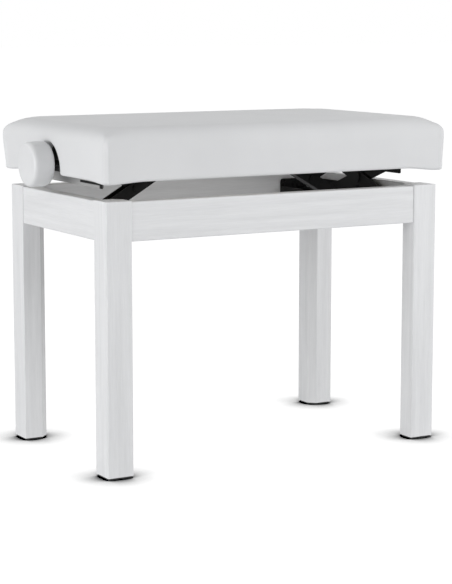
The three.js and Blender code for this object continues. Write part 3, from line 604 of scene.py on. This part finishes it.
def notch_lining():
    """The black lining on the walls of the knob's notch, behind the turned-in leather."""
    inner, outer = NOTCH_RADIUS + LINING_RADII[0], NOTCH_RADIUS + LINING_RADII[1]
    near = cover_low.x + NOTCH_DEPTH - LINING_OVERLAP
    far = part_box("notch_plate")[0].x - LINING_GAP
    foot = SEAT_BOTTOM + LINING_FOOT - KNOB_CENTRE.z
    path = [(0.0, foot)]
    path += [(math.radians(angle), None) for angle in range(0, 181, LINING_STEP_DEG)]
    path += [(math.pi, foot)]
    vertices, faces = [], []
    for angle, drop in path:
        for radius, x in ((inner, near), (inner, far), (outer, far), (outer, near)):
            z = KNOB_CENTRE.z + (radius * math.sin(angle) if drop is None else drop)
            vertices.append((x, KNOB_CENTRE.y + radius * math.cos(angle), z))
    for step in range(len(path) - 1):
        for side in range(4):
            other = (side + 1) % 4
            start, end = 4 * step, 4 * (step + 1)
            faces.append((start + side, start + other, end + other, end + side))
    last = 4 * (len(path) - 1)
    faces += [(3, 2, 1, 0), (last, last + 1, last + 2, last + 3)]
    lining = mesh_object("notch_lining", vertices, faces, PLASTIC)
    crisp(lining)
    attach(lining, "seat")


def boxes_object(name, boxes, material):
    """One mesh of plain boxes, each given by its low and high corner."""
    sides = [(0, 1, 3, 2), (4, 6, 7, 5), (0, 4, 5, 1), (2, 3, 7, 6), (0, 2, 6, 4), (1, 5, 7, 3)]
    vertices, faces = [], []
    for low, high in boxes:
        start = len(vertices)
        vertices += itertools.product(*zip(low, high))
        faces += [tuple(start + i for i in side) for side in sides]
    return mesh_object(name, vertices, faces, material)


# FRONT, BACK and the spans are distances from the seat's middle. BELOW and ABOVE are from the seat's bottom,
# and the heights of the black strip and the tip are from the batten's bottom.
BATTEN_FROM_RAIL = (1.2 * MM, 6.5 * MM)
BATTEN_FRONT = 98 * MM
BATTEN_BACK = 88 * MM
BATTEN_BELOW = 13.7 * MM
BATTEN_ABOVE = 2 * MM
BATTEN_POST = 22 * MM
POST_GAP = 0.3 * MM
BLACK_STRIP_THICK = 0.9 * MM
BLACK_STRIP_SPAN = (98 * MM, 34 * MM)
BLACK_STRIP_HEIGHTS = (4.4 * MM, 7.6 * MM)
TIP_SPAN = (105 * MM, 97 * MM)
TIP_HEIGHT = 8.5 * MM


def end_batten():
    """The grey batten under the seat's knob end, on two posts from the board, and a black strip and tip on
    its face.
    """
    post_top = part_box("seat_board")[0].z - POST_GAP
    rail_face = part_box("rail_left")[1].x
    near, far = (rail_face + distance for distance in BATTEN_FROM_RAIL)
    middle = SEAT_CENTRE.y
    front, back = middle - BATTEN_FRONT, middle + BATTEN_BACK
    bottom, top = SEAT_BOTTOM - BATTEN_BELOW, SEAT_BOTTOM + BATTEN_ABOVE
    batten = boxes_object("end_batten", [
        ((near, front, bottom), (far, back, top)),
        ((near, front, top), (far, front + BATTEN_POST, post_top)),
        ((near, back - BATTEN_POST, top), (far, back, post_top)),
    ], GREY_BATTEN)
    soften(batten, 0.5 * MM)
    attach(batten, "seat")
    face = near - BLACK_STRIP_THICK
    black_strip_y = [middle - distance for distance in BLACK_STRIP_SPAN]
    black_strip_z = [bottom + height for height in BLACK_STRIP_HEIGHTS]
    tip_y = [middle - distance for distance in TIP_SPAN]
    # A black strip along the batten's face, and a black tip below its front end.
    black_strips = boxes_object("batten_black_strips", [
        ((face, black_strip_y[0], black_strip_z[0]), (near, black_strip_y[1], black_strip_z[1])),
        ((face, tip_y[0], bottom), (near, tip_y[1], bottom + TIP_HEIGHT)),
    ], BLACK)
    crisp(black_strips)
    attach(black_strips, "seat")


# ---------------------------------------------------------------- knob

TURNED_SIDES = 96
ROUND_STEPS = 12


def turned(name, profile, axis_point, material):
    """A turned piece about the X axis: profile is a list of (x, radius) from one end to the other."""
    vertices, faces = [], []
    sides = TURNED_SIDES
    for x, radius in profile:
        for i in range(sides):
            angle = 2 * math.pi * i / sides
            across, up = radius * math.cos(angle), radius * math.sin(angle)
            vertices.append((x, axis_point.y + across, axis_point.z + up))
    for level in range(len(profile) - 1):
        for i in range(sides):
            j = (i + 1) % sides
            near, far = level * sides, (level + 1) * sides
            faces.append((near + i, far + i, far + j, near + j))
    faces.append(tuple(range(sides)))
    faces.append(tuple(reversed(range((len(profile) - 1) * sides, len(profile) * sides))))
    piece = mesh_object(name, vertices, faces, material)
    work = bmesh.new()
    work.from_mesh(piece.data)
    bmesh.ops.recalc_face_normals(work, faces=work.faces)
    work.to_mesh(piece.data)
    work.free()
    return piece


def quarter_round(centre_x, centre_radius, reach_x, reach_radius, from_deg, to_deg):
    """Part of an ellipse, as (x, radius) points of a turned profile."""
    points = []
    for i in range(ROUND_STEPS + 1):
        angle = math.radians(from_deg + (to_deg - from_deg) * i / ROUND_STEPS)
        points.append((centre_x + reach_x * math.cos(angle), centre_radius + reach_radius * math.sin(angle)))
    return points


def knob_piece():
    """A turned knob: a flat face, a small round to its widest part, and a long soft round to its back."""
    radius = (knob_high.z - knob_low.z) / 2
    face_round, face_drop = 7 * MM, 5.5 * MM
    back_round, back_drop = 11 * MM, 5 * MM
    face_proud, back_proud = 2 * MM, 1.3 * MM
    face_x, back_x = knob_low.x - face_proud, knob_high.x + back_proud
    back_rings = (12 * MM, 6 * MM)
    profile = quarter_round(face_x + face_round, radius - face_drop, face_round, face_drop, 180, 90)
    profile += quarter_round(back_x - back_round, radius - back_drop, back_round, back_drop, 90, 0)
    profile += [(back_x, ring) for ring in back_rings]
    knob = turned("turned_knob", profile, KNOB_CENTRE, KNOB_WHITE)
    crisp(knob, angle_deg=40)
    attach(knob, "drive")
    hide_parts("knob")


# ---------------------------------------------------------------- floor, light and camera

FLOOR_PAINT = (0.95, 0.95, 0.955, 1)    # the floor as it lights the object
FLOOR_DIFFUSE = 0.28                    # the floor as the camera sees it: this grey, and a glow on top
FLOOR_GLOW = 0.92
# The floor's painted contact shadow: ambient occlusion within this reach dims the glow near the legs.
PAINTED_SHADOW_REACH = 76 * MM
PAINTED_SHADOW_DARK = -0.2                     # below 0, so that the glow is gone before the contact is full
PAINTED_SHADOW_RANGE = (0.5, 0.95)


def floor():
    """White floor. Towards the camera it glows, and a painted shadow dims that glow where something stands
    close over it.
    """
    bpy.ops.mesh.primitive_plane_add(size=60, location=(0, 0, 0))
    plane = bpy.context.object
    plane.name = "floor"
    nodes = Nodes("floor_white")
    nodes.set(Roughness=0.9, Specular_IOR_Level=0.0, Emission_Color=(1, 1, 1, 1))
    seen = nodes.add("LightPath").outputs["Is Camera Ray"]
    paint = nodes.add("Mix", data_type="RGBA")
    paint.inputs["A"].default_value = FLOOR_PAINT
    paint.inputs["B"].default_value = (FLOOR_DIFFUSE, FLOOR_DIFFUSE, FLOOR_DIFFUSE, 1)
    nodes.join(seen, paint.inputs["Factor"])
    nodes.colour(paint.outputs["Result"])
    # painted shadow: the occlusion darkens the camera's glow close to the legs and feet
    shade = nodes.add("AmbientOcclusion", samples=24)
    shade.inputs["Distance"].default_value = PAINTED_SHADOW_REACH
    near = nodes.to_range(shade.outputs["AO"], PAINTED_SHADOW_DARK, FLOOR_GLOW, *PAINTED_SHADOW_RANGE)
    glow = nodes.add("Math", operation="MULTIPLY")
    nodes.join(near, glow.inputs[0])
    nodes.join(seen, glow.inputs[1])
    nodes.join(glow.outputs["Value"], nodes.shader.inputs["Emission Strength"])
    plane.data.materials.append(nodes.material)


def sky(strength):
    """An even pale light, which the camera and glossy reflections see as plain white."""
    world = bpy.data.worlds.new("studio")
    bpy.context.scene.world = world
    world.use_nodes = True
    tree = world.node_tree
    ambient = tree.nodes["Background"]
    ambient.inputs["Color"].default_value = (0.98, 0.99, 1.0, 1)
    ambient.inputs["Strength"].default_value = strength
    white = tree.nodes.new("ShaderNodeBackground")
    white.inputs["Color"].default_value = (1, 1, 1, 1)
    path = tree.nodes.new("ShaderNodeLightPath")
    mix = tree.nodes.new("ShaderNodeMixShader")
    seen = tree.nodes.new("ShaderNodeMath")
    seen.operation = "MAXIMUM"
    tree.links.new(path.outputs["Is Camera Ray"], seen.inputs[0])
    tree.links.new(path.outputs["Is Glossy Ray"], seen.inputs[1])
    tree.links.new(seen.outputs["Value"], mix.inputs["Fac"])
    tree.links.new(ambient.outputs["Background"], mix.inputs[1])
    tree.links.new(white.outputs["Background"], mix.inputs[2])
    tree.links.new(mix.outputs["Shader"], tree.nodes["World Output"].inputs["Surface"])


def softbox(name, location, aim, size, power, reflected=True):
    """A rectangular lamp. One that isn't reflected lights surfaces but gives them no highlight."""
    light = bpy.data.lights.new(name, "AREA")
    light.shape = "RECTANGLE"
    light.size, light.size_y = size
    light.energy = power
    lamp = link(bpy.data.objects.new(name, light))
    lamp.location = location
    lamp.visible_glossy = reflected
    lamp.rotation_euler = (Vector(aim) - Vector(location)).to_track_quat("-Z", "Y").to_euler()


def camera():
    """The photograph's view: front left, a little above seat height, through a long lens.

    Its place, lens and shift were fitted to the leg, rail and seat edges in the photograph.
    """
    data = bpy.data.cameras.new("camera")
    data.sensor_width = 36
    data.lens = 113.63
    data.shift_x = 0.0031
    data.shift_y = -0.0275
    eye = link(bpy.data.objects.new("camera", data))
    eye.location = (-1.3547, -2.4061, 0.6426)
    forward = Vector((0.4911, 0.8596, -0.1407)).normalized()
    right = forward.cross(Vector((0, 0, 1))).normalized()
    up = right.cross(forward)
    eye.rotation_euler = Matrix((right, up, -forward)).transposed().to_euler()
    bpy.context.scene.camera = eye


# ---------------------------------------------------------------- everything made, in order

leather_seat()
notch_lining()
end_batten()
knob_piece()
floor()
sky(0.4)
softbox("left_box", (-3.2, -0.6, 0.8), (0, 0, 0.3), (3.0, 2.0), 63)
softbox("front_box", (1.9, -2.0, 1.5), (0.1, 0, 0.35), (1.6, 1.4), 40, reflected=False)
camera()
bpy.context.scene.view_settings.view_transform = "Standard"
